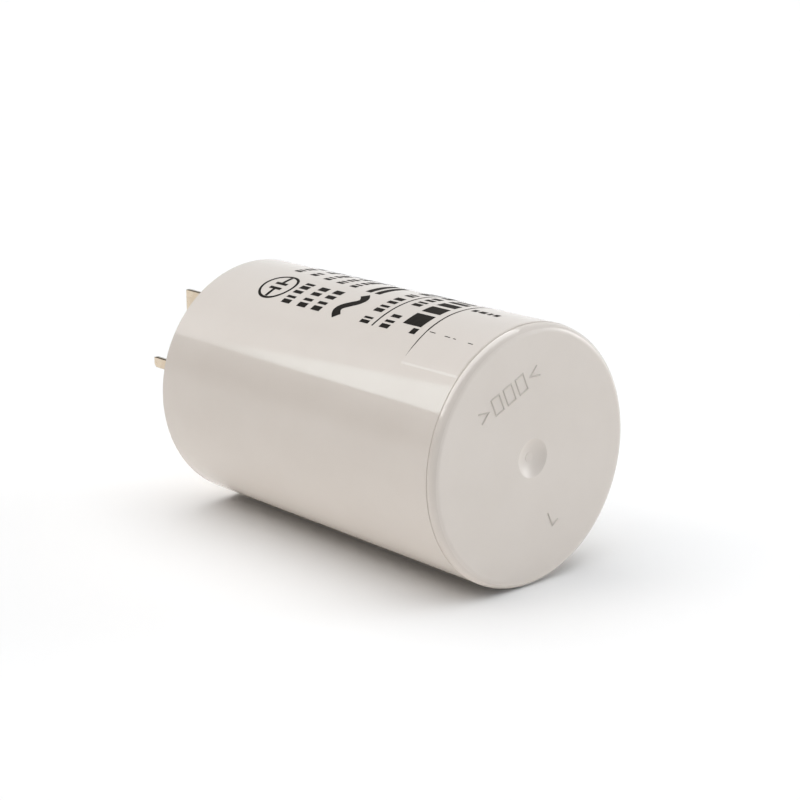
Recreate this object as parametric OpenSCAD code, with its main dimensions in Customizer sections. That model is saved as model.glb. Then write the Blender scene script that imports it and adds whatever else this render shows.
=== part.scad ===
// Film capacitor for motors, wound round a core tube and potted in a moulded plastic can.
// It stands on the can's closed end, with the origin at that end's centre and +Z towards the terminals.
// Millimetres.

/* [Can] */
// Outer diameter of the can
case_d = 35; // [33:0.5:50]
// Height of the can from its closed end to its rim
case_h = 57; // [45:0.5:90]
// Thickness of the can's side wall
case_wall = 1.8; // [1.5:0.1:2.4]
// Thickness of the can's closed end
floor_t = 2.2; // [1.6:0.1:3]
// Rounding of the closed end's outer edge
end_round = 1.2; // [0.8:0.1:1.9]
// Rounding between wall and closed end inside the can
inner_round = 1.2; // [0.5:0.1:2]
// Rounding of the rim's outer edge
rim_round = 0.3; // [0.1:0.05:0.4]
// Width of the mould's parting line, where the end's rounding runs out into the wall
parting_w = 0.16; // [0.1:0.02:0.4]
// Depth of the parting line
parting_depth = 0.08; // [0.04:0.02:0.2]

/* [Gate recess] */
// Diameter of the shallow bowl at the closed end's centre
gate_d = 5.2; // [3:0.1:8]
// Depth of the bowl
gate_depth = 0.75; // [0.4:0.05:1]
// Rounding of the bowl's rim
gate_round = 0.3; // [0.1:0.05:0.6]
// Diameter of the gate mark in the bowl
gate_mark_d = 1.3; // [0.8:0.1:2]
// Height of the gate mark above the bowl's deepest point
gate_mark_h = 0.08; // [0.06:0.02:0.25]

/* [Lid] */
// Thickness of the lid at its edge
lid_t = 2.5; // [1.8:0.1:4]
// Depth of the lid's edge below the rim
lid_recess = 1; // [0.4:0.1:2]
// Width of the ledge in the can that the lid stands on
ledge_w = 0.8; // [0.5:0.1:1]
// Clearance between the lid and the can's mouth
lid_gap = 0.05; // [0.02:0.01:0.15]
// Chamfer on the lid's upper edge
lid_chamfer = 0.3; // [0.1:0.05:0.6]
// Width of the low edge round the lid's raised middle
lid_edge_w = 1; // [0.6:0.1:1.4]
// Height of the raised middle above the lid's edge
pad_h = 1.4; // [0.8:0.1:2.5]
// Thickness of the barrier between the terminals
barrier_t = 1.4; // [1:0.1:2]
// Height of the barrier above the raised middle
barrier_h = 2.5; // [1:0.1:4]

/* [Terminals] */
// Thickness of the terminals' sheet metal
tab_t = 0.8; // [0.6:0.05:1]
// Height of the tips above the terminals' seat
tab_h = 10; // [8:0.1:14]
// Width of the wide push-on blade
blade_w = 6.3; // [4.8:0.1:6.5]
// Width of the narrow solder tag
tag_w = 1.5; // [1.2:0.1:2.8]
// Inside radius of the bends between foot and tabs
bend_r = 0.4; // [0.2:0.05:0.8]
// Width of the flat foot between its two bends
foot_w = 4.55; // [4.3:0.05:5.5]
// Reach of the foot from its rivet towards the lid's edge
foot_out = 6.25; // [5.5:0.05:6.6]
// Reach of the foot from its rivet towards the solder tag
foot_in = 4.6; // [4:0.05:5.5]
// Cut across the foot's corners
foot_cut = 2.4; // [2.2:0.1:2.6]
// Clipped corner at each tip
tip_clip = 0.4; // [0.1:0.05:0.6]
// Diameter of the latching hole in the blade
latch_d = 1.7; // [1.4:0.1:2.2]
// Distance of the latching hole from the tip
latch_drop = 3.8; // [3:0.1:4.6]
// Depth of the pocket that the foot lies in
pocket_depth = 0.4; // [0.2:0.05:0.6]
// Clearance round the foot in its pocket
pocket_gap = 0.15; // [0.05:0.05:0.3]

/* [Rivets] */
// Distance of each rivet from the lid's edge
rivet_edge = 6.2; // [6:0.1:7]
// Direction of the first rivet round the lid
rivet_angle = 216; // [212:1:220]
// Diameter of the rivet's shank
rivet_d = 2.4; // [2:0.1:3]
// Diameter of the rivet's two heads
rivet_head_d = 4; // [3.4:0.1:4.2]
// Height of each head
rivet_head_h = 0.6; // [0.4:0.1:1]
// Chamfer round each head
rivet_chamfer = 0.25; // [0.1:0.05:0.35]
// Clearance round the shank
rivet_gap = 0.05; // [0.02:0.01:0.1]

/* [Winding] */
// Resin between the winding and the can's wall
winding_gap = 1.4; // [0.8:0.1:2.5]
// Resin between the can's closed end and the winding
lower_space = 3.4; // [3.2:0.1:6]
// Room between the winding and the lid
upper_space = 6; // [5.2:0.1:9]
// Thickness of the metal sprayed on each end of the winding
spray_t = 0.6; // [0.4:0.1:1]
// Outer diameter of the core tube
core_d = 8; // [6.5:0.1:10]
// Wall of the core tube
core_wall = 1; // [0.6:0.1:1.2]
// Distance of the resin's surface below the lid
resin_drop = 1; // [0.8:0.1:1.5]

/* [Leads] */
// Diameter of the lead wires
lead_d = 1.2; // [0.8:0.1:1.4]
// Radius of the long lead's bends, at the middle of the wire
lead_bend = 1.3; // [1:0.1:1.6]
// Distance of the long lead's joint from the core tube, on the lower end of the winding
joint_offset = 4; // [3:0.1:6]
// Distance between each end of the winding and the long lead's run past it
lead_clear = 1.8; // [1.7:0.1:2.2]

/* [Hidden] */
$fn = 96;

// Overrun of each cut past the face that it opens
over = 1;
// Turn from the first terminal to the second
half_turn = 180;
// Turn of each elbow in the long lead
elbow_turn = 90;

// Can and lid
case_r = case_d / 2;
inner_r = case_r - case_wall;
mouth_r = inner_r + ledge_w;
lid_r = mouth_r - lid_gap;
lid_z = case_h - lid_recess - lid_t;
lid_edge_z = lid_z + lid_t;
pad_r = lid_r - lid_edge_w;
pad_z = lid_edge_z + pad_h;
gate_sphere_r = (pow(gate_d / 2, 2) + pow(gate_depth, 2)) / (2 * gate_depth);
gate_sphere_z = gate_depth - gate_sphere_r;
// Radius where the rounding of the bowl's rim starts on the closed end
gate_rim_r = sqrt(pow(gate_sphere_r + gate_round, 2) - pow(gate_round - gate_sphere_z, 2));
// Share of the way from the bowl's centre of curvature to the rounding's one, where the two arcs meet
gate_meet = gate_sphere_r / (gate_sphere_r + gate_round);

// Terminals and rivets
seat_z = pad_z - pocket_depth;
rivet_r = lid_r - rivet_edge;
rivet_x = rivet_r * cos(rivet_angle);
rivet_y = rivet_r * sin(rivet_angle);
rivet_foot_z = lid_z - rivet_head_h;
foot_half = foot_w / 2;
upright_x = foot_half + bend_r;
// Growth of a corner cut at 45 degrees for each millimetre that its outline grows
cut_growth = 2 - sqrt(2);

// Winding and leads
winding_r = inner_r - winding_gap;
core_r = core_d / 2;
core_bore_r = core_r - core_wall;
pack_low = floor_t + lower_space;
pack_top = lid_z - upper_space;
pack_h = pack_top - pack_low;
lead_r = lead_d / 2;
joint_r = core_r + joint_offset;
run_low = pack_low - lead_clear;
run_high = pack_top + lead_clear;
resin_z = lid_z - resin_drop;

// Half section of a solid of revolution with a rounded lower corner
module round_foot_section(radius, low, high, corner) {
    translate([0, low + corner]) square([radius, high - low - corner]);
    translate([0, low]) square([radius - corner, corner]);
    translate([radius - corner, low + corner]) circle(corner);
}

// Half section of the can's inside, up to a height
module cavity_section(top) {
    round_foot_section(inner_r, floor_t, top, inner_round);
}

// Half section of the can's outside
module can_outer_section() {
    round_foot_section(case_r, 0, case_h - rim_round, end_round);
    translate([0, case_h - rim_round]) square([case_r - rim_round, rim_round]);
    translate([case_r - rim_round, case_h - rim_round]) circle(rim_round);
}

// Half section of the gate recess, a shallow bowl with a rounded rim
module gate_section() {
    meet_z = gate_sphere_z + (gate_round - gate_sphere_z) * gate_meet;
    translate([0, gate_sphere_z]) circle(gate_sphere_r);
    difference() {
        polygon([
            [0, -over],
            [gate_rim_r, -over],
            [gate_rim_r, 0],
            [gate_rim_r * gate_meet, meet_z],
            [0, meet_z]
        ]);
        translate([gate_rim_r, gate_round]) circle(gate_round);
    }
}

// Moulded can with its gate recess, parting line and lid ledge
module case() {
    color([0.86, 0.84, 0.80]) {
        rotate_extrude() difference() {
            can_outer_section();
            cavity_section(lid_z + over);
            translate([0, lid_z]) square([mouth_r, case_h]);
            translate([case_r - parting_depth, end_round - parting_w]) square([over, parting_w]);
            gate_section();
        }
        translate([0, 0, gate_depth - gate_mark_h]) cylinder(d = gate_mark_d, h = floor_t - gate_depth);
    }
}

// Places a shape at the first rivet, or at the second one for side 1
module at_rivet(side) {
    rotate([0, 0, half_turn * side]) translate([rivet_x, rivet_y, 0]) children();
}

// Outline of the terminal's flat foot, grown all round
module foot_outline(grow) {
    x = foot_half + grow;
    low = -foot_out - grow;
    high = foot_in + grow;
    clip = foot_cut + grow * cut_growth;
    polygon([[clip - x, low], [x, low], [x, high - clip], [x - clip, high], [-x, high], [-x, low + clip]]);
}

// Ground plan of one tab's bend and upright, grown all round
module tab_plan(low, width, grow) {
    translate([0, low - grow]) square([upright_x + tab_t + grow, width + 2 * grow]);
}

// Pocket for the foot and the roots of both tabs
module pocket_outline() {
    foot_outline(pocket_gap);
    tab_plan(-foot_out, blade_w, pocket_gap);
    mirror([1, 0]) tab_plan(foot_in - tag_w, tag_w, pocket_gap);
}

// Lid with its raised middle, barrier, terminal pockets and rivet holes
module lid() {
    color([0.86, 0.84, 0.80]) difference() {
        union() {
            rotate_extrude() polygon([
                [0, lid_z],
                [lid_r, lid_z],
                [lid_r, lid_edge_z - lid_chamfer],
                [lid_r - lid_chamfer, lid_edge_z],
                [pad_r, lid_edge_z],
                [pad_r, pad_z - lid_chamfer],
                [pad_r - lid_chamfer, pad_z],
                [0, pad_z]
            ]);
            intersection() {
                translate([-barrier_t / 2, -lid_r, lid_edge_z])
                    cube([barrier_t, 2 * lid_r, pad_h + barrier_h]);
                translate([0, 0, lid_z]) cylinder(r = pad_r - lid_chamfer, h = case_h);
            }
        }
        for (side = [0, 1]) at_rivet(side) {
            translate([0, 0, seat_z]) linear_extrude(pocket_depth + over) pocket_outline();
            translate([0, 0, lid_z - over]) cylinder(r = rivet_d / 2 + rivet_gap, h = lid_t + pad_h + over);
        }
    }
}

// Sheet bent up along the foot's +X edge, between two places along that edge
module bent_tab(low, width) {
    bend_z = tab_t + bend_r;
    high = low + width;
    translate([0, high, 0]) rotate([90, 0, 0]) linear_extrude(width) {
        square([foot_half, tab_t]);
        translate([foot_half, bend_z]) intersection() {
            difference() {
                circle(bend_z);
                circle(bend_r);
            }
            translate([0, -bend_z]) square(bend_z);
        }
    }
    translate([upright_x, 0, 0]) rotate([90, 0, 90]) linear_extrude(tab_t) polygon([
        [low, bend_z],
        [high, bend_z],
        [high, tab_h - tip_clip],
        [high - tip_clip, tab_h],
        [low, tab_h]
    ]);
}

// Stamped terminal: a flat foot with a wide blade at one side and a narrow tag at the other
module terminal(side) {
    color([0.80, 0.73, 0.60]) at_rivet(side) translate([0, 0, seat_z]) difference() {
        union() {
            linear_extrude(tab_t) foot_outline(0);
            bent_tab(-foot_out, blade_w);
            mirror([1, 0, 0]) bent_tab(foot_in - tag_w, tag_w);
        }
        translate([0, 0, -over]) cylinder(r = rivet_d / 2 + rivet_gap, h = tab_t + 2 * over);
        translate([0, blade_w / 2 - foot_out, tab_h - latch_drop]) rotate([0, 90, 0])
            cylinder(d = latch_d, h = upright_x + tab_t + over);
    }
}

// Rivet that clamps a terminal to the lid and carries a lead below it
module rivet(side) {
    head_r = rivet_head_d / 2;
    head_z = seat_z + tab_t;
    top_z = head_z + rivet_head_h;
    color([0.78, 0.68, 0.45]) at_rivet(side) rotate_extrude() polygon([
        [0, rivet_foot_z],
        [head_r - rivet_chamfer, rivet_foot_z],
        [head_r, rivet_foot_z + rivet_chamfer],
        [head_r, lid_z],
        [rivet_d / 2, lid_z],
        [rivet_d / 2, head_z],
        [head_r, head_z],
        [head_r, top_z - rivet_chamfer],
        [head_r - rivet_chamfer, top_z],
        [0, top_z]
    ]);
}

// Ring about the can's axis
module ring(outer, inner, low, height) {
    translate([0, 0, low]) difference() {
        cylinder(r = outer, h = height);
        translate([0, 0, -over]) cylinder(r = inner, h = height + 2 * over);
    }
}

// Roll of metallised film
module winding() {
    color([0.75, 0.77, 0.78]) ring(winding_r, core_r, pack_low + spray_t, pack_h - 2 * spray_t);
}

// Plastic tube that the film is wound on
module core_tube() {
    color([0.30, 0.32, 0.35]) ring(core_r, core_bore_r, pack_low, pack_h);
}

// Metal sprayed on one end of the winding
module end_spray(low) {
    color([0.62, 0.63, 0.64]) ring(winding_r, core_r, low, spray_t);
}

// Straight lead from the upper end of the winding to the first rivet,
// carried on into the winding by a reach
module lead_short(reach) {
    color([0.80, 0.78, 0.74]) at_rivet(0) lead_up(0, pack_top - reach, rivet_foot_z);
}

// Quarter bend of the lead about a point in the XZ plane, from an angle onwards
module lead_elbow(x, z, start) {
    translate([x, 0, z]) rotate([90, -start, 0]) rotate_extrude(angle = -elbow_turn)
        translate([lead_bend, 0]) circle(lead_r);
}

// Upright stretch of the lead
module lead_up(x, low, high) {
    translate([x, 0, low]) cylinder(r = lead_r, h = high - low);
}

// Level stretch of the lead, between two bends
module lead_across(far, z) {
    translate([lead_bend, 0, z]) rotate([0, 90, 0]) cylinder(r = lead_r, h = far - 2 * lead_bend);
}

// Lead from the lower end of the winding, up through the core tube and across to the second rivet,
// carried on into the winding by a reach
module lead_long(reach) {
    color([0.80, 0.78, 0.74]) rotate([0, 0, rivet_angle + half_turn]) {
        lead_up(joint_r, run_low + lead_bend, pack_low + reach);
        lead_elbow(joint_r - lead_bend, run_low + lead_bend, 0);
        lead_across(joint_r, run_low);
        lead_elbow(lead_bend, run_low + lead_bend, -elbow_turn);
        lead_up(0, run_low + lead_bend, run_high - lead_bend);
        lead_elbow(lead_bend, run_high - lead_bend, half_turn);
        lead_across(rivet_r, run_high);
        lead_elbow(rivet_r - lead_bend, run_high + lead_bend, 0);
        lead_up(rivet_r, run_high + lead_bend, rivet_foot_z);
    }
}

// Resin that fills the can round the winding, inside its core and over its upper end
module potting() {
    color([0.25, 0.22, 0.18]) difference() {
        rotate_extrude() cavity_section(resin_z);
        ring(winding_r, core_bore_r, pack_low, pack_h);
        lead_short(over);
        lead_long(over);
    }
}

case();
lid();
terminal(0);  // terminal_a
terminal(1);  // terminal_b
rivet(0);  // rivet_a
rivet(1);  // rivet_b
winding();
core_tube();
end_spray(pack_low);  // end_spray_lower
end_spray(pack_top - spray_t);  // end_spray_upper
lead_short(0);
lead_long(0);
potting();
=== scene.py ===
"""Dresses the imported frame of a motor-run film capacitor and sets it in a small studio.

The frame has +Z from the can's closed end to its terminals. In the picture the can lies on its side, so the
studio's main floor is the plane that touches the wall at +Y, and the camera stands on the -Z side.
"""

import logging
import math
from collections.abc import Sequence
from dataclasses import dataclass
from enum import Enum
from functools import cache

import bmesh
import bpy
from mathutils import Matrix, Vector


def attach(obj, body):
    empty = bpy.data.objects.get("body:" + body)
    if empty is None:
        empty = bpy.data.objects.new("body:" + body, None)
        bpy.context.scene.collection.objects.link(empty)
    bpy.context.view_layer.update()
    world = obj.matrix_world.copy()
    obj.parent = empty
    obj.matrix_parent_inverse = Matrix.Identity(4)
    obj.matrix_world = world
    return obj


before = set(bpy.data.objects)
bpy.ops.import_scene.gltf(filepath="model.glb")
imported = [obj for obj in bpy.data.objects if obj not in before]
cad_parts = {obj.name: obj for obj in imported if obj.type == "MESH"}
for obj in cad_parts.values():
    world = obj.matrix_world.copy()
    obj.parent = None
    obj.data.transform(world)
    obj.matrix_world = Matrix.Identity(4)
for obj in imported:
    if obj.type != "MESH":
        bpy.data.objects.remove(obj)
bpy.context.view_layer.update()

Colour = tuple[float, float, float]
Point = tuple[float, float]
Way = tuple[float, float, float]
Points = tuple[Point, ...]
Rows = tuple[tuple[float, float, Points], ...]
Material = bpy.types.Material
Mesh = bmesh.types.BMesh
Node = bpy.types.Node
Socket = bpy.types.NodeSocket
SocketValue = Socket | float | tuple | bool
Thing = bpy.types.Object

MM = 0.001
BODY = "root"
LOG = logging.getLogger("capacitor")
WHITE: Colour = (1.0, 1.0, 1.0)
# Upwards in the picture, and the height in mm of the floor that the can lies on there
PICTURE_UP = Vector((0.0, -1.0, 0.0))
LYING_FLOOR_Y = 17.52


class Effect(Enum):
    """Surface effects that several finishes share."""

    GRAIN = "moulded_grain"
    LINES = "drawn_lines"


class Tree:
    """Nodes of one material, group or world."""

    # Places of a Mix node's colour sockets
    MIX_FIRST, MIX_SECOND, MIX_RESULT = 6, 7, 2

    def __init__(self, tree: bpy.types.NodeTree) -> None:
        """Takes over the node tree of a material, group or world and empties it."""
        self.tree = tree
        tree.nodes.clear()

    def add(self, kind: str, inputs: dict[str | int, SocketValue] | None = None, **settings: object) -> Node:
        """Adds a node.

        Args:
            kind: Blender's name of the node type.
            inputs: values or sockets for the node's inputs, by name or place.
            settings: properties of the node itself.

        Returns:
            The new node.
        """
        node = self.tree.nodes.new(kind)
        for key, value in settings.items():
            setattr(node, key, value)
        for key, value in (inputs or {}).items():
            self.feed(node, key, value)
        return node

    def feed(self, node: Node, key: str | int, value: SocketValue) -> None:
        """Links a socket into a node's input, or sets the input's own value.

        Args:
            node: node that is fed.
            key: name or place of its input.
            value: socket to link, or value to set.
        """
        socket = node.inputs[key]
        if isinstance(value, Socket):
            self.tree.links.new(value, socket)
        else:
            socket.default_value = (*value, 1.0) if socket.type == "RGBA" else value

    def math(self, operation: str, *operands: SocketValue, clamp: bool = False) -> Socket:
        """Result of an operation on its operands, kept between 0 and 1 where it is clamped."""
        inputs = dict(enumerate(operands))
        return self.add("ShaderNodeMath", inputs, operation=operation, use_clamp=clamp).outputs[0]

    def ramp(
        self, value: SocketValue, low: float, high: float, to_low: float = 0.0, to_high: float = 1.0
    ) -> Socket:
        """Value mapped smoothly from one range to another, and kept within its ends."""
        inputs = {"Value": value, "From Min": low, "From Max": high, "To Min": to_low, "To Max": to_high}
        return self.add("ShaderNodeMapRange", inputs, interpolation_type="SMOOTHSTEP").outputs["Result"]

    def between(self, value: SocketValue, low_mm: float, high_mm: float, soft_mm: float = 1.0) -> Socket:
        """1 where a place on an axis in metres lies between two others, and 0 outside, with soft ends."""
        ends = (low_mm, low_mm + soft_mm), (high_mm, high_mm - soft_mm)
        return self.math("MULTIPLY", *(self.ramp(value, out * MM, full * MM) for out, full in ends))

    def mix(self, share: SocketValue, first: Colour | Socket, second: Colour | Socket) -> Socket:
        """Colour that goes from the first to the second as a share goes from 0 to 1."""
        inputs = {"Factor": share, self.MIX_FIRST: first, self.MIX_SECOND: second}
        return self.add("ShaderNodeMix", inputs, data_type="RGBA").outputs[self.MIX_RESULT]

    def spread(self, share: Socket, least: float, most: float) -> Socket:
        """Value that goes from the least to the most as a share goes from 0 to 1."""
        return self.ramp(share, 0.0, 1.0, least, most)

    def noise(self, place: Socket, scale: SocketValue, detail: float) -> Socket:
        """Smooth noise from 0 to 1, with a number of finer layers as its detail."""
        return self.add("ShaderNodeTexNoise", {"Vector": place, "Scale": scale, "Detail": detail}).outputs[0]

    def bump(self, height: Socket, depth_mm: float, invert: bool = False) -> Socket:
        """Normal of a surface with a height on it, whose 1 stands for the depth."""
        inputs = {"Height": height, "Strength": 1.0, "Distance": depth_mm * MM}
        return self.add("ShaderNodeBump", inputs, invert=invert).outputs[0]

    def parts(self, vector: Socket) -> dict[str, Socket]:
        """X, Y and Z of a vector, by name."""
        node = self.add("ShaderNodeSeparateXYZ", {0: vector})
        return {axis: node.outputs[axis] for axis in "XYZ"}

    def radius(self, place: Socket) -> Socket:
        """Distance of a place from the can's axis, in metres."""
        flat = self.add("ShaderNodeVectorMath", {0: place, 1: (1.0, 1.0, 0.0)}, operation="MULTIPLY")
        return self.add("ShaderNodeVectorMath", {0: flat.outputs[0]}, operation="LENGTH").outputs["Value"]


class EffectLibrary:
    """Shader node groups of the shared effects, each built once."""

    # Finer layers of each noise, and the parts of its values that are spread over 0 to 1
    CLOUD_DETAIL, GRAIN_DETAIL, LINE_DETAIL, SMUDGE_DETAIL = 3.0, 2.0, 4.0, 3.0
    CLOUD_RANGE = LINE_RANGE = (0.3, 0.7)
    SMUDGE_RANGE = (0.35, 0.7)

    @cache
    def group(self, effect: Effect) -> bpy.types.NodeTree:
        """Group of an effect, built on its first use."""
        return {Effect.GRAIN: self.make_grain, Effect.LINES: self.make_lines}[effect]()

    @staticmethod
    def start(
        effect: Effect, inputs: dict[str, float | Way], outputs: Sequence[str]
    ) -> tuple[Tree, Node, Node]:
        """Starts a group with its sockets.

        Args:
            effect: effect that the group makes.
            inputs: names and first values of its inputs.
            outputs: names of its outputs.

        Returns:
            The group's tree, its input node and its output node.
        """
        group = bpy.data.node_groups.new(effect.value, "ShaderNodeTree")
        for name, value in inputs.items():
            kind = "NodeSocketVector" if isinstance(value, tuple) else "NodeSocketFloat"
            group.interface.new_socket(name, in_out="INPUT", socket_type=kind).default_value = value
        for name in outputs:
            group.interface.new_socket(name, in_out="OUTPUT", socket_type="NodeSocketFloat")
        tree = Tree(group)
        return tree, tree.add("NodeGroupInput"), tree.add("NodeGroupOutput")

    def make_grain(self) -> bpy.types.NodeTree:
        """Builds the faint flow clouds and fine grain of a moulded or cast surface.

        Returns:
            The group, with a Tone from 0 to 1 and a Height for bump.
        """
        tree, entry, leave = self.start(
            Effect.GRAIN, {"Cloud Scale": 90.0, "Grain Scale": 2500.0, "Ripple": 0.5}, ("Tone", "Height")
        )
        place = tree.add("ShaderNodeTexCoord").outputs["Object"]
        cloud = tree.noise(place, entry.outputs["Cloud Scale"], self.CLOUD_DETAIL)
        grain = tree.noise(place, entry.outputs["Grain Scale"], self.GRAIN_DETAIL)
        ripple = tree.math("MULTIPLY", cloud, entry.outputs["Ripple"])
        tree.feed(leave, "Tone", tree.ramp(cloud, *self.CLOUD_RANGE))
        tree.feed(leave, "Height", tree.math("ADD", grain, ripple))
        return tree.tree

    def make_lines(self) -> bpy.types.NodeTree:
        """Builds the fine parallel lines of rolled, drawn or wound stock, with soft smudges.

        Returns:
            The group, with Lines and Smudge from 0 to 1.
        """
        tree, entry, leave = self.start(
            Effect.LINES, {"Across": (40.0, 4000.0, 40.0), "Smudge Scale": 350.0}, ("Lines", "Smudge")
        )
        place = tree.add("ShaderNodeTexCoord").outputs["Object"]
        stretch = {0: place, 1: entry.outputs["Across"]}
        scaled = tree.add("ShaderNodeVectorMath", stretch, operation="MULTIPLY")
        lines = tree.noise(scaled.outputs[0], 1.0, self.LINE_DETAIL)
        smudge = tree.noise(place, entry.outputs["Smudge Scale"], self.SMUDGE_DETAIL)
        tree.feed(leave, "Lines", tree.ramp(lines, *self.LINE_RANGE))
        tree.feed(leave, "Smudge", tree.ramp(smudge, *self.SMUDGE_RANGE))
        return tree.tree


class Surface(Tree):
    """Nodes of one finish, round its shader."""

    def __init__(self, name: str, effects: EffectLibrary) -> None:
        """Makes the material with a Principled shader.

        Args:
            name: name of the material.
            effects: shared effects.
        """
        self.material = bpy.data.materials.new(name)
        self.material.use_nodes = True
        super().__init__(self.material.node_tree)
        self.effects = effects
        self.shader = self.add("ShaderNodeBsdfPrincipled")
        self.add("ShaderNodeOutputMaterial", {"Surface": self.shader.outputs[0]})

    def feed_by_name(self, node: Node, inputs: dict[str, SocketValue]) -> None:
        """Feeds a node's inputs, which are named in small letters."""
        for key, value in inputs.items():
            self.feed(node, key.replace("_", " ").title().replace("Ior", "IOR"), value)

    def effect(self, effect: Effect, **inputs: float | Way) -> Node:
        """Places a shared effect in the material.

        Args:
            effect: effect to place.
            inputs: values of the group's inputs, by name.

        Returns:
            The group node.
        """
        node = self.add("ShaderNodeGroup", node_tree=self.effects.group(effect))
        self.feed_by_name(node, inputs)
        return node

    def shade(self, **inputs: SocketValue) -> None:
        """Feeds the shader's inputs, by name."""
        self.feed_by_name(self.shader, inputs)


@dataclass(frozen=True)
class Finish:
    """What a piece is made of."""

    name: str

    def paint(self, tree: Surface) -> None:
        """Feeds the shader, as each kind of finish does in its own way."""
        raise NotImplementedError


@dataclass(frozen=True)
class MouldedPlastic(Finish):
    """Moulded or cast plastic: faint flow clouds, fine grain, and a duller closed end where it has one."""

    colour: Colour
    dark: Colour
    roughness: float
    rough_spread: float = 0.04
    end_roughness: float | None = None
    end_facing: Point = (0.75, 0.98)
    bowl_mm: float = 4.0
    bowl_fade_mm: float = 1.0
    cloud_scale: float = 90.0
    grain_scale: float = 2600.0
    ripple: float = 0.5
    bump_mm: float = 0.002

    def paint(self, tree: Surface) -> None:
        """Feeds the shader.

        Args:
            tree: nodes of the finish.
        """
        grain = tree.effect(
            Effect.GRAIN, cloud_scale=self.cloud_scale, grain_scale=self.grain_scale, ripple=self.ripple
        )
        tone = grain.outputs["Tone"]
        rough = tree.spread(tone, self.roughness - self.rough_spread, self.roughness + self.rough_spread)
        if self.end_roughness is not None:
            place = tree.add("ShaderNodeTexCoord").outputs
            down = tree.math("MULTIPLY", tree.parts(place["Normal"])["Z"], -1.0)
            bowl_r, fade_r = self.bowl_mm * MM, (self.bowl_mm + self.bowl_fade_mm) * MM
            bowl = tree.ramp(tree.radius(place["Object"]), bowl_r, fade_r, 1.0, 0.0)
            dull = tree.math("MAXIMUM", tree.ramp(down, *self.end_facing), bowl)
            rough = tree.math("MAXIMUM", rough, tree.math("MULTIPLY", dull, self.end_roughness))
        normal = tree.bump(grain.outputs["Height"], self.bump_mm)
        tree.shade(base_color=tree.mix(tone, self.colour, self.dark), roughness=rough, normal=normal)


@dataclass(frozen=True)
class StripMetal(Finish):
    """Rolled, turned or drawn metal. Cut sheet has duller edges, where part of it broke dark."""

    colour: Colour
    dark: Colour
    roughness: float
    across: Way
    rough_spread: float = 0.1
    smudge_scale: float = 500.0
    bump_mm: float = 0.003
    cut: tuple[Colour, Colour] | None = None
    side_facing: Point = (0.35, 0.6)
    tip_facing: Point = (0.5, 0.8)
    tip_z_mm: float = 66.0
    tip_fade_mm: float = 0.5
    broke_mm: tuple[Point, Point] = ((5.22, 5.75), (11.37, 11.9))
    broke_fade_mm: float = 0.08
    broke_rough: float = 0.85

    def paint(self, tree: Surface) -> None:
        """Feeds the shader.

        Args:
            tree: nodes of the finish.
        """
        drawn = tree.effect(Effect.LINES, across=self.across, smudge_scale=self.smudge_scale).outputs
        colour = tree.mix(drawn["Smudge"], self.colour, self.dark)
        least, most = self.roughness - self.rough_spread / 2, self.roughness + self.rough_spread
        rough = tree.spread(drawn["Smudge"], least, most)
        if self.cut is not None:
            smooth, broken = self.cut
            place = tree.add("ShaderNodeTexCoord").outputs
            facing, spot = tree.parts(place["Normal"]), tree.parts(place["Object"])
            sides = tree.ramp(tree.math("ABSOLUTE", facing["Y"]), *self.side_facing)
            top = tree.ramp(spot["Z"], self.tip_z_mm * MM, (self.tip_z_mm + self.tip_fade_mm) * MM)
            tips = tree.math("MULTIPLY", tree.ramp(facing["Z"], *self.tip_facing), top)
            edge = tree.math("MAXIMUM", sides, tips)
            away = tree.math("ABSOLUTE", spot["X"])
            zones = [tree.between(away, low, high, self.broke_fade_mm) for low, high in self.broke_mm]
            broke = tree.math("MAXIMUM", *zones)
            colour = tree.mix(edge, colour, tree.mix(broke, smooth, broken))
            dull = tree.math("MULTIPLY", tree.math("MULTIPLY", edge, broke), self.broke_rough)
            rough = tree.math("MAXIMUM", rough, dull)
        normal = tree.bump(drawn["Lines"], self.bump_mm)
        tree.shade(base_color=colour, metallic=1.0, roughness=rough, normal=normal)


@dataclass(frozen=True)
class Ink(Finish):
    """Pad-printed ink, a little uneven in its black and its gloss."""

    colour: Colour
    thin: Colour
    roughness: float
    sheen: float
    rough_spread: float = 0.15
    cloud_scale: float = 1600.0

    def paint(self, tree: Surface) -> None:
        """Feeds the shader.

        Args:
            tree: nodes of the finish.
        """
        tone = tree.effect(Effect.GRAIN, cloud_scale=self.cloud_scale).outputs["Tone"]
        rough = tree.spread(tone, self.roughness, self.roughness + self.rough_spread)
        colour = tree.mix(tone, self.colour, self.thin)
        tree.shade(base_color=colour, roughness=rough, specular_ior_level=self.sheen)


@dataclass(frozen=True)
class WoundFilm(Finish):
    """Edge and outside of wound metallised film, with the lines of its many turns."""

    colour: Colour
    dark: Colour
    roughness: float
    rough_spread: float = 0.12
    metallic: Point = (0.55, 0.7)
    turn_mm: float = 0.35
    turn_swing: float = 0.3
    turn_middle: float = 0.4
    across: Way = (60.0, 60.0, 900.0)
    smudge_scale: float = 160.0

    def paint(self, tree: Surface) -> None:
        """Feeds the shader.

        Args:
            tree: nodes of the finish.
        """
        radius = tree.radius(tree.add("ShaderNodeTexCoord").outputs["Object"])
        turns = tree.math("SINE", tree.math("MULTIPLY", radius, 2 * math.pi / (self.turn_mm * MM)))
        share = tree.math("MULTIPLY_ADD", turns, self.turn_swing, self.turn_middle, clamp=True)
        drawn = tree.effect(Effect.LINES, across=self.across, smudge_scale=self.smudge_scale).outputs
        metallic = tree.spread(drawn["Lines"], *self.metallic)
        rough = tree.spread(drawn["Smudge"], self.roughness, self.roughness + self.rough_spread)
        tree.shade(base_color=tree.mix(share, self.colour, self.dark), metallic=metallic, roughness=rough)


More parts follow.
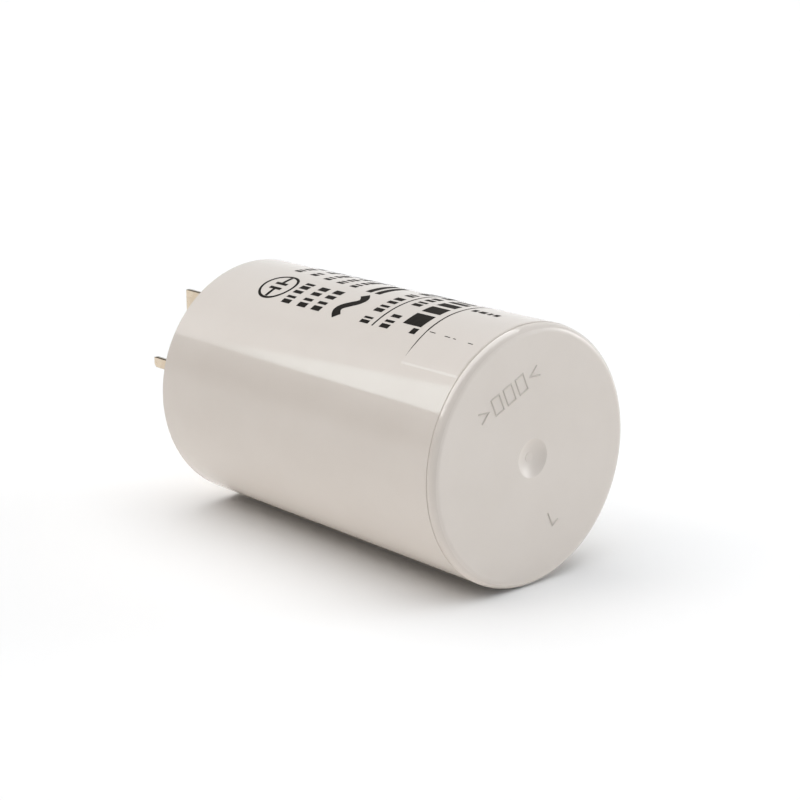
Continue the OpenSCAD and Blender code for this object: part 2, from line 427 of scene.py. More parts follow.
@dataclass(frozen=True)
class SprayedMetal(Finish):
    """Metal sprayed in droplets: rough, pitted and uneven in tone."""

    colour: Colour
    pit: Colour
    roughness: float
    rough_spread: float = 0.1
    cloud_scale: float = 400.0
    drop_scale: float = 3200.0
    drop_mm: float = 0.05
    pit_range: Point = (0.2, 0.8)

    def paint(self, tree: Surface) -> None:
        """Feeds the shader.

        Args:
            tree: nodes of the finish.
        """
        place = tree.add("ShaderNodeTexCoord").outputs["Object"]
        drops = tree.add("ShaderNodeTexVoronoi", {"Vector": place, "Scale": self.drop_scale})
        away = drops.outputs["Distance"]
        tone = tree.effect(Effect.GRAIN, cloud_scale=self.cloud_scale).outputs["Tone"]
        rough = tree.spread(tone, self.roughness - self.rough_spread, self.roughness + self.rough_spread)
        colour = tree.mix(tree.ramp(away, *self.pit_range), self.colour, self.pit)
        normal = tree.bump(away, self.drop_mm, invert=True)
        tree.shade(base_color=colour, metallic=1.0, roughness=rough, normal=normal)


CAN_PLASTIC = MouldedPlastic(
    "can_plastic_glossy", (0.640, 0.592, 0.545), (0.622, 0.573, 0.525), 0.085,
    rough_spread=0.015, end_roughness=0.42,
)
# The marks' plastic is darker than the can's: painted shade along the raised marks
MARK_PAINTED_SHADE = MouldedPlastic("mould_mark_painted_shade", (0.53, 0.487, 0.445), (0.48, 0.438, 0.398), 0.4)
LID_PLASTIC = MouldedPlastic(
    "lid_plastic_satin", (0.632, 0.584, 0.536), (0.606, 0.557, 0.508), 0.38, bump_mm=0.006
)
TINNED_BRASS = StripMetal(
    "tinned_brass_sheet", (0.72, 0.61, 0.48), (0.66, 0.55, 0.42), 0.26, (60.0, 60.0, 5200.0),
    rough_spread=0.06, bump_mm=0.001, cut=((0.42, 0.40, 0.36), (0.075, 0.054, 0.028)),
)
RIVET_BRASS = StripMetal("rivet_brass", (0.72, 0.57, 0.30), (0.58, 0.43, 0.20), 0.28, (900.0, 900.0, 900.0))
LEAD_TIN = StripMetal(
    "tinned_copper_wire", (0.74, 0.71, 0.66), (0.60, 0.56, 0.50), 0.32, (2600.0, 2600.0, 60.0)
)
FILM_ROLL = WoundFilm("metallised_film", (0.66, 0.68, 0.70), (0.50, 0.52, 0.55), 0.25)
CORE_PLASTIC = MouldedPlastic(
    "core_plastic", (0.085, 0.092, 0.105), (0.065, 0.071, 0.083), 0.45, bump_mm=0.006
)
ZINC_SPRAY = SprayedMetal("sprayed_zinc", (0.52, 0.53, 0.55), (0.30, 0.31, 0.33), 0.55)
CAST_RESIN = MouldedPlastic(
    "cast_resin", (0.050, 0.042, 0.033), (0.038, 0.031, 0.024), 0.3,
    cloud_scale=160.0, ripple=1.5, bump_mm=0.01,
)
BLACK_INK = Ink("black_pad_ink", (0.008, 0.007, 0.006), (0.018, 0.016, 0.014), 0.5, 0.02)
CLEAR_FILM = MouldedPlastic(
    "clear_film_patch", (0.654, 0.606, 0.560), (0.638, 0.590, 0.544), 0.09,
    rough_spread=0.02, grain_scale=1500.0,
)


def put(name: str, data: bpy.types.ID) -> Thing:
    """Puts a new object in the scene.

    Args:
        name: name of the object.
        data: its mesh, light or camera.

    Returns:
        The object.
    """
    thing = bpy.data.objects.new(name, data)
    bpy.context.scene.collection.objects.link(thing)
    return thing


def grid_faces(lines: int, columns: int) -> list[tuple[int, ...]]:
    """Faces of a grid whose points are listed line by line, as places in that list."""
    places = [j * (columns + 1) + i for j in range(lines) for i in range(columns)]
    return [(place, place + 1, place + columns + 2, place + columns + 1) for place in places]


class Workshop:
    """Makes meshes and hands out materials."""

    # Distance that joins a frame node's points, and steps of a rounding
    WELD_MM = 0.001
    EASE_STEPS = 3

    def __init__(self) -> None:
        """Starts with no material made."""
        self.effects = EffectLibrary()
        self.made: dict[str, Material] = {}

    def dress(self, piece: Thing, finish: Finish) -> None:
        """Gives a piece its finish in place of any other material.

        Args:
            piece: piece or frame node.
            finish: finish to give it.
        """
        if finish.name not in self.made:
            tree = Surface(finish.name, self.effects)
            finish.paint(tree)
            self.made[finish.name] = tree.material
        if piece.material_slots:
            for slot in piece.material_slots:
                slot.material = self.made[finish.name]
        else:
            piece.data.materials.append(self.made[finish.name])
        LOG.info("%s: %s", piece.name, finish.name)

    def piece(self, name: str, mesh: Mesh, finish: Finish) -> Thing:
        """Turns a mesh into a piece that rides on the part's body.

        Args:
            name: name of the piece.
            mesh: mesh in metres, freed here.
            finish: finish of the piece.

        Returns:
            The new object.
        """
        bmesh.ops.recalc_face_normals(mesh, faces=mesh.faces)
        data = bpy.data.meshes.new(name)
        mesh.to_mesh(data)
        mesh.free()
        thing = put(name, data)
        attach(thing, BODY)
        self.dress(thing, finish)
        return thing

    def ease_edges(self, node: Thing, width_mm: float, angle_deg: float = 35.0) -> None:
        """Rounds a frame node's sharp edges with modifiers, which leave its own mesh as it is.

        Args:
            node: frame node.
            width_mm: width of the rounding.
            angle_deg: smallest angle that counts as an edge.
        """
        weld = node.modifiers.new("weld", "WELD")
        weld.merge_threshold = self.WELD_MM * MM
        bevel = node.modifiers.new("ease", "BEVEL")
        bevel.width = width_mm * MM
        bevel.segments = self.EASE_STEPS
        bevel.limit_method = "ANGLE"
        bevel.angle_limit = math.radians(angle_deg)
        bevel.use_clamp_overlap = True
        bevel.harden_normals = True


@dataclass(frozen=True)
class WallGround:
    """The can's wall, unrolled: u runs round it from the -Y line towards -X, v along its axis."""

    radius: float

    def at(self, u: float, v: float, lift: float) -> Vector:
        """Point in metres at an arc length, a height and a lift over the wall in mm."""
        turn, reach = u / self.radius, self.radius + lift
        return Vector((-reach * math.sin(turn), -reach * math.cos(turn), v)) * MM


@dataclass(frozen=True)
class EndGround:
    """A patch of the closed end, seen from outside, with its own origin and turn."""

    x: float
    y: float
    turn_deg: float

    def at(self, u: float, v: float, lift: float) -> Vector:
        """Point in metres at a place to the right, one upwards and a lift over the closed end in mm."""
        c, s = math.cos(math.radians(self.turn_deg)), math.sin(math.radians(self.turn_deg))
        return Vector((self.x + c * u - s * v, self.y - s * u - c * v, -lift)) * MM


Ground = WallGround | EndGround


@dataclass
class Stroke:
    """A line of even width, open or closed, on some ground."""

    path: Sequence[Point]
    width: float
    closed: bool = False

    def stations(self, step: float) -> list[tuple[Point, Point]]:
        """Places along the stroke with the way to its left side, with long runs divided.

        Args:
            step: longest run between two places, in mm.

        Returns:
            Each place with its sideways vector, which is longer at corners.
        """
        points: list[Point] = []
        way = [*self.path, self.path[0]] if self.closed else self.path
        for (ax, ay), (bx, by) in zip(way, way[1:]):
            count = max(1, math.ceil(math.hypot(bx - ax, by - ay) / step))
            points += [(ax + (bx - ax) * i / count, ay + (by - ay) * i / count) for i in range(count)]
        if not self.closed:
            points.append(self.path[-1])
        made = []
        last = len(points) - 1
        for i, (x, y) in enumerate(points):
            before = points[i - 1] if i or self.closed else points[i]
            after = points[(i + 1) % len(points)] if i < last or self.closed else points[i]
            normals = []
            for (ax, ay), (bx, by) in ((before, (x, y)), ((x, y), after)):
                run = math.hypot(bx - ax, by - ay)
                if run > 0:
                    normals.append(((ay - by) / run, (bx - ax) / run))
            sx, sy = sum(n[0] for n in normals), sum(n[1] for n in normals)
            size = (sx * sx + sy * sy) / len(normals)
            made.append(((x, y), (sx / size, sy / size)))
        return made

    def lay(self, mesh: Mesh, ground: Ground, height: float, top_share: float, step: float) -> None:
        """Adds the stroke to a mesh as a closed low ridge.

        Args:
            mesh: mesh that takes it.
            ground: surface that it lies on.
            height: height of the ridge in mm.
            top_share: width of its top as a share of its foot.
            step: longest run between two sections in mm.
        """
        half = self.width / 2
        across = ((half, 0.0), (half * top_share, height), (-half * top_share, height), (-half, 0.0))
        rings = [
            [mesh.verts.new(ground.at(x + sx * a, y + sy * a, h)) for a, h in across]
            for (x, y), (sx, sy) in self.stations(step)
        ]
        pairs = list(zip(rings, rings[1:]))
        if self.closed:
            pairs.append((rings[-1], rings[0]))
        for first, second in pairs:
            for i in range(len(first)):
                j = (i + 1) % len(first)
                mesh.faces.new((first[i], first[j], second[j], second[i]))
        if not self.closed:
            mesh.faces.new(rings[0])
            mesh.faces.new(rings[-1])


@dataclass
class WallPrint:
    """Print on the can's wall in black ink: a plain symbol, rows of small blocks, rules and bold fields.

    A row of blocks or of fields gives its middle, its height and the stretches that they fill. A rule gives
    its width and its path. Sizes in mm.
    """

    shop: Workshop
    ground: WallGround
    film_t: float
    ink_t: float = 0.012
    top_share: float = 0.98
    step: float = 0.6
    symbol_at: Point = (6.1, 44.2)
    ring_r: float = 2.85
    ring_line: float = 0.42
    ring_steps: int = 40
    plate_half: float = 1.2
    plate_gap: float = 0.6
    plate_line: float = 0.55
    wave_u: Point = (9.1, 3.5)
    wave_v: float = 28.5
    wave_swing: float = 1.0
    wave_line: float = 1.3
    wave_steps: int = 28
    rows: Rows = (
        (39.5, 1.8, ((9.1, 3.2),)),
        (36.1, 1.8, ((9.1, 3.6),)),
        (33.1, 1.8, ((9.1, 3.5),)),
        (23.0, 1.7, ((9.1, 7.2), (6.4, 1.4), (0.6, -1.2), (-1.9, -6.4), (-7.1, -9.4))),
        (19.1, 1.7, ((9.1, 5.6), (3.0, -1.8), (-2.5, -5.2), (-5.9, -11.0))),
        (46.3, 1.4, ((0.9, -2.6), (-3.2, -5.0), (-5.6, -9.3))),
        (42.7, 1.4, ((1.0, -1.4), (-2.0, -6.1), (-6.7, -8.4))),
        (39.3, 1.4, ((1.4, -3.6), (-4.2, -6.0), (-6.6, -10.6))),
        (36.2, 1.4, ((1.6, -2.0), (-2.6, -7.2))),
        (33.2, 1.4, ((1.8, -4.4), (-5.0, -7.4), (-8.0, -10.2))),
    )
    pitch_share: float = 0.7
    block_shares: tuple[float, ...] = (0.68, 0.42, 0.6, 0.74, 0.5)
    rules: tuple[tuple[float, Points], ...] = (
        (0.28, ((9.2, 21.15), (-13.0, 21.15))),
        (0.17, ((13.5, 11.45), (7.6, 11.9))),
        (0.26, ((7.6, 11.9), (3.5, 12.1), (-14.2, 12.1))),
    )
    fields: Rows = (
        (29.4, 1.1, ((2.2, -3.2),)),
        (27.6, 1.1, ((2.2, -3.2),)),
        (15.15, 3.5, ((7.4, 4.6), (3.9, 1.9), (1.2, -0.2), (-0.9, -1.8), (-2.4, -2.9))),
        (13.8, 1.1, ((8.9, 7.8),)),
    )
    dashes: Points = ((11.3, 10.2), (8.4, 7.4), (6.8, 6.3), (4.0, 3.1))
    dash_u: float = 7.8
    dash_lean: float = 0.045
    dash_line: float = 0.13
    code: Points = ((11.0, 10.1), (9.7, 8.5), (8.1, 7.5), (7.1, 6.2))
    code_u: float = 0.2
    code_line: float = 0.9

    def symbol(self) -> list[Stroke]:
        """Plain capacitor symbol in a ring.

        Returns:
            The ring, the two plates and their leads.
        """
        u, v = self.symbol_at
        turns = [2 * math.pi * i / self.ring_steps for i in range(self.ring_steps)]
        ring = [(u + self.ring_r * math.cos(a), v + self.ring_r * math.sin(a)) for a in turns]
        made = [Stroke(ring, self.ring_line, closed=True)]
        half = self.plate_line / 2
        for side in (1, -1):
            plate_u, ring_u = u + side * self.plate_gap, u + side * (self.ring_r - half)
            plate = [(plate_u, v - self.plate_half), (plate_u, v + self.plate_half)]
            lead = [(plate_u + side * half, v), (ring_u, v)]
            made += [Stroke(plate, self.plate_line), Stroke(lead, self.plate_line)]
        return made

    def wave(self) -> Stroke:
        """Bold wave.

        Returns:
            Its stroke.
        """
        left, right = self.wave_u
        count, mid = self.wave_steps, self.wave_v
        path = [
            (left + (right - left) * i / count, mid + self.wave_swing * math.sin(2 * math.pi * i / count))
            for i in range(count + 1)
        ]
        return Stroke(path, self.wave_line)

    def row_blocks(self, v: float, height: float, left: float, right: float) -> list[Stroke]:
        """Evenly spaced blocks that fill one stretch of a row.

        Args:
            v: middle of the row.
            height: height of the blocks.
            left: where the stretch starts.
            right: where it ends.

        Returns:
            One stroke for each block.
        """
        count = max(1, round((left - right) / (height * self.pitch_share)))
        pitch = (left - right) / count
        shares = [self.block_shares[i % len(self.block_shares)] for i in range(count)]
        return [
            Stroke([(left - i * pitch, v), (left - (i + share) * pitch, v)], height)
            for i, share in enumerate(shares)
        ]

    def on_wall(self) -> list[Stroke]:
        """Print that lies on the bare wall.

        Returns:
            Its strokes.
        """
        made = [*self.symbol(), self.wave()]
        for v, height, stretches in self.rows:
            for left, right in stretches:
                made += self.row_blocks(v, height, left, right)
        made += [Stroke(path, width) for width, path in self.rules]
        for v, height, stretches in self.fields:
            made += [Stroke([(u, v) for u in ends], height) for ends in stretches]
        return made

    def on_film(self) -> list[Stroke]:
        """Print that lies on the film patch.

        Returns:
            Its strokes.
        """
        top = self.dashes[0][0]
        made = [
            Stroke([(self.dash_u + self.dash_lean * (top - z), z) for z in ends], self.dash_line)
            for ends in self.dashes
        ]
        return made + [Stroke([(self.code_u, z) for z in ends], self.code_line) for ends in self.code]

    def build(self) -> None:
        """Makes the print as one thin piece on the wall and the film patch."""
        mesh = bmesh.new()
        for strokes, height in ((self.on_wall(), self.ink_t), (self.on_film(), self.film_t + self.ink_t)):
            for stroke in strokes:
                stroke.lay(mesh, self.ground, height, self.top_share, self.step)
        self.shop.piece("wall_print", mesh, BLACK_INK)


@dataclass
class FilmPatch:
    """Bare patch of clear film round the foot of the wall. Sizes in mm."""

    shop: Workshop
    ground: WallGround
    left: float = 13.65
    right: float = -14.6
    low: float = 1.35
    high: float = 11.6
    film_t: float = 0.05
    edge: float = 0.05
    left_edge: float = 0.32
    columns: int = 60
    lines: int = 6

    def lay(self, mesh: Mesh, inset: float, lift: float) -> list[bmesh.types.BMVert]:
        """Adds one side of the slab to a mesh, as a grid.

        Args:
            mesh: mesh that takes it.
            inset: distance inside the patch's outline.
            lift: height over the wall.

        Returns:
            The points round the grid's edge, in order.
        """
        left, right = self.left - inset * self.left_edge / self.edge, self.right + inset
        low, high = self.low + inset, self.high - inset
        across = [left + (right - left) * i / self.columns for i in range(self.columns + 1)]
        along = [low + (high - low) * j / self.lines for j in range(self.lines + 1)]
        rows = [[mesh.verts.new(self.ground.at(u, v, lift)) for u in across] for v in along]
        points = [point for row in rows for point in row]
        for face in grid_faces(self.lines, self.columns):
            mesh.faces.new([points[place] for place in face])
        right_end, left_end = [row[-1] for row in rows[1:]], [row[0] for row in rows[-2:0:-1]]
        return rows[0] + right_end + rows[-1][-2::-1] + left_end

    def build(self) -> None:
        """Makes the patch as a thin closed slab with a sloped edge."""
        mesh = bmesh.new()
        upper = self.lay(mesh, self.edge, self.film_t)
        lower = self.lay(mesh, 0.0, 0.0)
        for i in range(len(upper)):
            j = (i + 1) % len(upper)
            mesh.faces.new((upper[i], upper[j], lower[j], lower[i]))
        self.shop.piece("film_patch", mesh, CLEAR_FILM)


@dataclass
class MouldMarks:
    """Low raised marks on the closed end: chevrons round plain frames, and a small corner. Their plastic is
    darker than the can's, as painted shade. Sizes in mm.
    """

    shop: Workshop
    height: float = 0.12
    line: float = 0.22
    top_share: float = 0.3
    step: float = 0.5
    row: EndGround = EndGround(-4.4, -9.2, 24.5)
    chevron_u: float = 5.6
    chevron_arm: float = 1.6
    chevron_half: float = 0.75
    frames_u: tuple[float, ...] = (-2.3, 0.0, 2.3)
    frame_half: Point = (0.75, 1.15)
    corner: EndGround = EndGround(3.9, 9.4, 0.0)
    corner_path: Points = ((-0.9, 1.35), (0.0, -0.55), (1.05, 0.15))

    def build(self) -> None:
        """Makes the marks as one piece."""
        mesh = bmesh.new()
        strokes = []
        for side in (-1, 1):
            foot, tip = side * self.chevron_u, side * (self.chevron_u - self.chevron_arm)
            path = [(foot, self.chevron_half), (tip, 0.0), (foot, -self.chevron_half)]
            strokes.append((self.row, Stroke(path, self.line)))
        wide, tall = self.frame_half
        for u in self.frames_u:
            path = [(u - wide, -tall), (u + wide, -tall), (u + wide, tall), (u - wide, tall)]
            strokes.append((self.row, Stroke(path, self.line, closed=True)))
        strokes.append((self.corner, Stroke(self.corner_path, self.line)))
        for ground, stroke in strokes:
            stroke.lay(mesh, ground, self.height, self.top_share, self.step)
        # The marks take the darker plastic, which paints shade along them
        self.shop.piece("mould_marks", mesh, MARK_PAINTED_SHADE)


@dataclass
class Can:
    """The moulded can with its print, film patch and moulded marks."""

    shop: Workshop
    wall: WallGround = WallGround(17.5)

    def build(self) -> None:
        """Dresses the can and adds what lies on it."""
        self.shop.dress(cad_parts["case"], CAN_PLASTIC)
        patch = FilmPatch(self.shop, self.wall)
        patch.build()
        WallPrint(self.shop, self.wall, patch.film_t).build()
        MouldMarks(self.shop).build()


@dataclass
class Top:
    """The lid with its riveted terminals. Sizes in mm."""

    shop: Workshop
    lid_ease: float = 0.12
    tab_ease: float = 0.08
    rivet_ease: float = 0.1

    def build(self) -> None:
        """Dresses the lid, terminals and rivets and eases their edges."""
        pieces = [("lid", LID_PLASTIC, self.lid_ease)]
        for side in "ab":
            pieces.append((f"terminal_{side}", TINNED_BRASS, self.tab_ease))
            pieces.append((f"rivet_{side}", RIVET_BRASS, self.rivet_ease))
        for name, finish, ease in pieces:
            self.shop.dress(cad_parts[name], finish)
            self.shop.ease_edges(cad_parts[name], ease)


@dataclass
class Inside:
    """The film roll and what is potted round it."""

    shop: Workshop
    finishes: tuple[tuple[str, Finish], ...] = (
        ("winding", FILM_ROLL),
        ("core_tube", CORE_PLASTIC),
        ("end_spray_lower", ZINC_SPRAY),
        ("end_spray_upper", ZINC_SPRAY),
        ("lead_short", LEAD_TIN),
        ("lead_long", LEAD_TIN),
        ("potting", CAST_RESIN),
    )

    def build(self) -> None:
        """Dresses the inner pieces."""
        for node, finish in self.finishes:
            self.shop.dress(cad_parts[node], finish)


def all_but(light: str, *things: Thing) -> bpy.types.Collection:
    """Makes the list of things that a light leaves out.

    Args:
        light: name of the light.
        things: objects to leave out.

    Returns:
        The collection for the light's linking.
    """
    apart = bpy.data.collections.new(f"apart_from_{light}")
    for thing in things:
        apart.objects.link(thing)
    for entry in apart.collection_objects:
        entry.light_linking.link_state = "EXCLUDE"
    return apart


@dataclass(frozen=True)
class Lamp:
    """A broad, distant light. At level 1 a white surface that faces it is lit to white."""

    name: str
    level: float
    way: Way
    spread_deg: float
    tint: Colour = WHITE
    mirrored: bool = True

    def build(self) -> Thing:
        """Makes the light.

        Returns:
            The light.
        """
        data = bpy.data.lights.new(self.name, "SUN")
        data.color = self.tint
        data.energy = self.level * math.pi
        data.angle = math.radians(self.spread_deg)
        lamp = put(self.name, data)
        lamp.rotation_mode = "QUATERNION"
        lamp.rotation_quaternion = Vector(self.way).to_track_quat("Z", "Y")
        lamp.visible_glossy = self.mirrored
        return lamp


@dataclass
class Studio:
    """Camera, floors, sky and lamps. Sizes in mm."""

    eye: Way = (-167.48, -70.98, -160.85)
    forward: Way = (0.6460, 0.2639, 0.7184)
    lens: float = 85.2355
    sensor: float = 36.0
    clip_near: float = 5.0
    floor_half: float = 3000.0
    stand_floor_z: float = -0.3
    floor_colour: Colour = (0.945, 0.942, 0.935)
    floor_glow: float = 0.285
    glow_zones: tuple[Way, ...] = ((-4.6, 9.0, 0.6), (-14.0, -3.6, 0.22))
    glow_z: Point = (0.5, 56.0)
    glow_tint: Colour = (1.0, 0.92, 0.85)
    glow_bounces: float = 1.5
    front_sky: Colour = (0.205, 0.238, 0.277)
    left_sky: Colour = (0.03, 0.028, 0.026)
    sky_blend: float = 0.9
    lamps: tuple[Lamp, ...] = (
        Lamp("top_light", 0.82, (-0.10, -0.95, 0.10), 85.0, mirrored=False),
        Lamp("right_light", 0.46, (0.90, -0.10, -0.42), 30.0),
        Lamp("left_light", 0.125, (-0.65, -0.68, 0.28), 30.0, (1.0, 0.91, 0.84)),
    )
    back_lamp: Lamp = Lamp("back_light", 0.6, (0.35, 0.15, 0.93), 30.0, mirrored=False)

    def build(self) -> None:
        """Makes the whole studio. The lying floor neither takes nor stops the light behind the can."""
        bpy.context.scene.view_settings.view_transform = "Standard"
        self.camera()
        lying = self.floors()
        self.sky()
        for lamp in self.lamps:
            lamp.build()
        linking = self.back_lamp.build().light_linking
        linking.receiver_collection = linking.blocker_collection = all_but(self.back_lamp.name, lying)

    def camera(self) -> None:
        """Makes the camera at the picture's viewpoint."""
        data = bpy.data.cameras.new("camera")
        data.lens, data.sensor_width, data.clip_start = self.lens, self.sensor, self.clip_near * MM
        camera = put("camera", data)
        ahead = Vector(self.forward).normalized()
        right = ahead.cross(PICTURE_UP).normalized()
        turn = Matrix((right, right.cross(ahead), -ahead)).transposed()
        camera.matrix_world = Matrix.Translation(Vector(self.eye) * MM) @ turn.to_4x4()
        bpy.context.scene.camera = camera

    def floor_material(self) -> Material:
        """Makes the floors' material, which is clear from behind.

        Returns:
            The material.
        """
        material = bpy.data.materials.new("pale_floor")
        material.use_nodes = True
        tree = Tree(material.node_tree)
        diffuse = tree.add("ShaderNodeBsdfDiffuse", {"Color": self.floor_colour})
        path = tree.add("ShaderNodeLightPath").outputs
        first = tree.math("LESS_THAN", path["Diffuse Depth"], self.glow_bounces)
        place = tree.parts(tree.add("ShaderNodeTexCoord").outputs["Object"])
        along = tree.between(place["Z"], *self.glow_z)
        level: SocketValue = self.floor_glow
        for low, high, extra in self.glow_zones:
            zone = tree.math("MULTIPLY", tree.between(place["X"], low, high), along)
            level = tree.math("ADD", tree.math("MULTIPLY", zone, extra), level)
        shown = tree.math("MULTIPLY", tree.math("MULTIPLY", path["Is Diffuse Ray"], first), level)
        glow = tree.add("ShaderNodeEmission", {"Color": self.glow_tint, "Strength": shown})
        lit = tree.add("ShaderNodeAddShader", {0: diffuse.outputs[0], 1: glow.outputs[0]})
        clear = tree.add("ShaderNodeBsdfTransparent")
        back = tree.add("ShaderNodeNewGeometry").outputs["Backfacing"]
        both = tree.add("ShaderNodeMixShader", {0: back, 1: lit.outputs[0], 2: clear.outputs[0]})
        tree.add("ShaderNodeOutputMaterial", {"Surface": both.outputs[0]})
        return material

    def floors(self) -> Thing:
        """Makes the floor that the can lies on in the picture, and one that it stands on in other views.

        Returns:
            The floor that the can lies on.
        """
        far = self.floor_half
        corners = ((-far, -far), (far, -far), (far, far), (-far, far))
        places = {
            "floor_lying": [Vector((x, LYING_FLOOR_Y, z)) for x, z in corners],
            "floor_standing": [Vector((x, min(y, LYING_FLOOR_Y), self.stand_floor_z)) for x, y in corners],
        }
        material = self.floor_material()
        made = []
        for name, points in places.items():
            data = bpy.data.meshes.new(name)
            data.from_pydata([point * MM for point in points], [], [(0, 1, 2, 3)])
            data.materials.append(material)
            floor = put(name, data)
            made.append(floor)
        lying, standing = made
        standing.visible_diffuse = standing.visible_glossy = False
        standing.visible_transmission = standing.visible_shadow = False
        return lying

    def sky(self) -> None:
        """Makes the soft light from all round, white where it is seen directly or mirrored."""
        world = bpy.data.worlds.new("studio")
        world.use_nodes = True
        bpy.context.scene.world = world
        tree = Tree(world.node_tree)
        path = tree.add("ShaderNodeLightPath").outputs
        seen = tree.math("ADD", path["Is Camera Ray"], path["Is Glossy Ray"], clamp=True)
        seen = tree.math("ADD", seen, path["Is Transmission Ray"], clamp=True)
        way = tree.parts(tree.add("ShaderNodeTexCoord").outputs["Generated"])
        leftness = tree.ramp(tree.math("SUBTRACT", way["Z"], way["X"]), -self.sky_blend, self.sky_blend)
        colour = tree.mix(leftness, self.front_sky, self.left_sky)
        soft = tree.add("ShaderNodeBackground", {"Color": colour})
        white = tree.add("ShaderNodeBackground", {"Color": WHITE})
        both = tree.add("ShaderNodeMixShader", {0: seen, 1: soft.outputs[0], 2: white.outputs[0]})
        tree.add("ShaderNodeOutputWorld", {"Surface": both.outputs[0]})


@dataclass
class Sheet:
    """A glowing sheet that only reflections show. Its points are in mm, and its glow has a level for each."""

    name: str
    points: list[Vector]
    faces: list[tuple[int, ...]]
    glow: list[float]
    tint: Colour = WHITE
    clear: bool = False

    def build(self) -> Thing:
        """Makes the sheet. Where it is clear, what lies behind it adds to its light.

        Returns:
            The sheet.
        """
        material = bpy.data.materials.new(f"{self.name}_light")
        material.use_nodes = True
        tree = Tree(material.node_tree)
        level = tree.add("ShaderNodeAttribute", attribute_name="glow").outputs["Fac"]
        light = tree.add("ShaderNodeEmission", {"Color": self.tint, "Strength": level})
        if self.clear:
            behind = tree.add("ShaderNodeBsdfTransparent")
            light = tree.add("ShaderNodeAddShader", {0: light.outputs[0], 1: behind.outputs[0]})
        tree.add("ShaderNodeOutputMaterial", {"Surface": light.outputs[0]})
        data = bpy.data.meshes.new(self.name)
        data.from_pydata([point * MM for point in self.points], [], self.faces)
        data.attributes.new("glow", "FLOAT", "POINT").data.foreach_set("value", self.glow)
        data.materials.append(material)
        panel = put(self.name, data)
        panel.visible_camera = panel.visible_diffuse = False
        panel.visible_transmission = panel.visible_shadow = False
        return panel


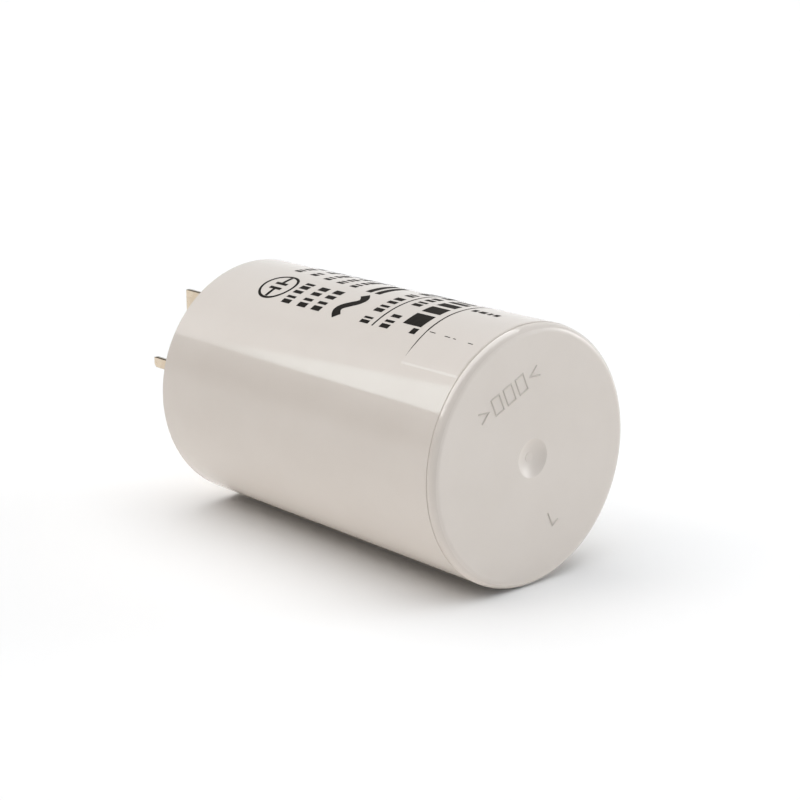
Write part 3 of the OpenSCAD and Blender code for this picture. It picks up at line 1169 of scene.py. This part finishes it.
@dataclass
class MirrorRoom:
    """Bright panels and dim sides of the room that the part mirrors. Sizes in mm, levels with 1 as white.

    Places on the side and wide panels run across and up from one direction. A column of the wide panel gives
    its place, its lower end and its share of the level. A row of a dim side gives its elevation or distance
    and its level.
    """

    panel_way: Way = (-0.42, -0.51, 0.75)
    side_far: float = 600.0
    side_level: float = 4.3
    side_tint: Colour = (0.87, 0.94, 0.94)
    bright_corners: Points = (
        (0.0, -35.0), (19.0, 130.0), (-110.0, 60.0), (-135.0, -40.0), (-42.0, -82.0)
    )
    faded_corners: Points = ((4.0, -64.0), (-18.0, -92.5))
    side_faces: tuple[tuple[int, ...], ...] = ((0, 1, 2, 3, 4), (0, 4, 6, 5))
    wide_far: float = 606.0
    wide_level: float = 2.2
    wide_top: float = 400.0
    wide_columns: tuple[Way, ...] = (
        (-140.0, -38.0, 1.0), (12.0, -106.0, 1.0), (60.0, -130.0, 0.95), (110.0, -130.0, 0.65),
        (160.0, -130.0, 0.4), (320.0, -130.0, 0.22), (540.0, -130.0, 0.1), (850.0, -130.0, 0.0),
    )
    over_y: float = -650.0
    over_x: Point = (-1000.0, 420.0)
    over_z: Point = (-250.0, 420.0)
    over_level: float = 3.5
    dim_far: float = 900.0
    dim_turn_deg: float = -75.0
    dim_sweep_deg: float = 140.0
    dim_columns: int = 24
    dim_rows: Points = (
        (-2.0, 0.85), (2.0, 0.6), (6.0, 0.35), (12.0, 0.3), (18.0, 0.55), (24.0, 0.85), (28.0, 1.0)
    )
    low_near: float = 42.0
    low_lift: float = 0.4
    low_z: float = 12.0
    low_turn_deg: float = -80.0
    low_sweep_deg: float = 85.0
    low_columns: int = 16
    low_rows: Points = ((1.0, 0.9), (1.35, 0.45), (1.8, 0.2), (20.0, 0.2))
    low_fade_deg: Point = (-20.0, 25.0)
    low_fade_level: float = 0.95

    def build(self) -> None:
        """Makes the panels and the dim sides."""
        self.side_panels()
        self.over_panel()
        self.dim_side()
        self.dim_floor()

    def side_panels(self) -> None:
        """Makes the bright panel whose mirror image lies along the can's wall, and the wide one behind it."""
        axis = Vector(self.panel_way).normalized()
        side = axis.cross(PICTURE_UP).normalized()
        rise = side.cross(axis)
        corners = self.bright_corners + self.faded_corners
        points = [axis * self.side_far + side * a + rise * b for a, b in corners]
        glow = [self.side_level] * len(self.bright_corners) + [self.wide_level] * len(self.faded_corners)
        Sheet("softbox_side", points, list(self.side_faces), glow, self.side_tint).build()
        ends = [(a, low) for a, low, _ in self.wide_columns]
        ends += [(a, self.wide_top) for a, _ in ends]
        points = [axis * self.wide_far + side * a + rise * b for a, b in ends]
        glow = [1.0 + (self.wide_level - 1.0) * share for _, _, share in self.wide_columns] * 2
        Sheet("softbox_wide", points, grid_faces(1, len(self.wide_columns) - 1), glow).build()

    def over_panel(self) -> None:
        """Makes the panel over the can's rounded edge, which the terminals don't mirror."""
        (left, right), (low, high) = self.over_x, self.over_z
        corners = ((left, low), (right, low), (right, high), (left, high))
        points = [Vector((x, self.over_y, z)) for x, z in corners]
        glow = [self.over_level] * len(points)
        panel = Sheet("softbox_over", points, [(0, 1, 2, 3)], glow, clear=True).build()
        tabs = [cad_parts[f"terminal_{side}"] for side in "ab"]
        panel.light_linking.receiver_collection = all_but(panel.name, *tabs)

    def dim_side(self) -> None:
        """Makes the dim left side of the room, which the can's wall and rounded edge mirror."""
        points, glow = [], []
        for elevation_deg, level in self.dim_rows:
            y = -self.dim_far * math.tan(math.radians(elevation_deg))
            for i in range(self.dim_columns + 1):
                turn = math.radians(self.dim_turn_deg + self.dim_sweep_deg * i / self.dim_columns)
                points.append(Vector((-self.dim_far * math.cos(turn), y, self.dim_far * math.sin(turn))))
                glow.append(level)
        Sheet("dim_side", points, grid_faces(len(self.dim_rows) - 1, self.dim_columns), glow).build()

    def dim_floor(self) -> None:
        """Makes the dim far part of the floor at the left front, as the can's rounded edge mirrors it."""
        points, glow = [], []
        start, length = self.low_fade_deg
        y = LYING_FLOOR_Y - self.low_lift
        for share, level in self.low_rows:
            reach = self.low_near * share
            for i in range(self.low_columns + 1):
                turn_deg = self.low_turn_deg + self.low_sweep_deg * i / self.low_columns
                turn = math.radians(turn_deg)
                points.append(Vector((-reach * math.cos(turn), y, self.low_z + reach * math.sin(turn))))
                fade = min(1.0, max(0.0, (turn_deg - start) / length))
                glow.append(level + (self.low_fade_level - level) * fade)
        Sheet("dim_floor", points, grid_faces(len(self.low_rows) - 1, self.low_columns), glow).build()


def main() -> None:
    """Builds the part's looks and the studio in order."""
    logging.basicConfig(level=logging.INFO, format="%(name)s %(message)s")
    shop = Workshop()
    Studio().build()
    MirrorRoom().build()
    for assembly in (Can(shop), Top(shop), Inside(shop)):
        LOG.info("building %s", type(assembly).__name__)
        assembly.build()


if __name__ == "__main__":
    main()
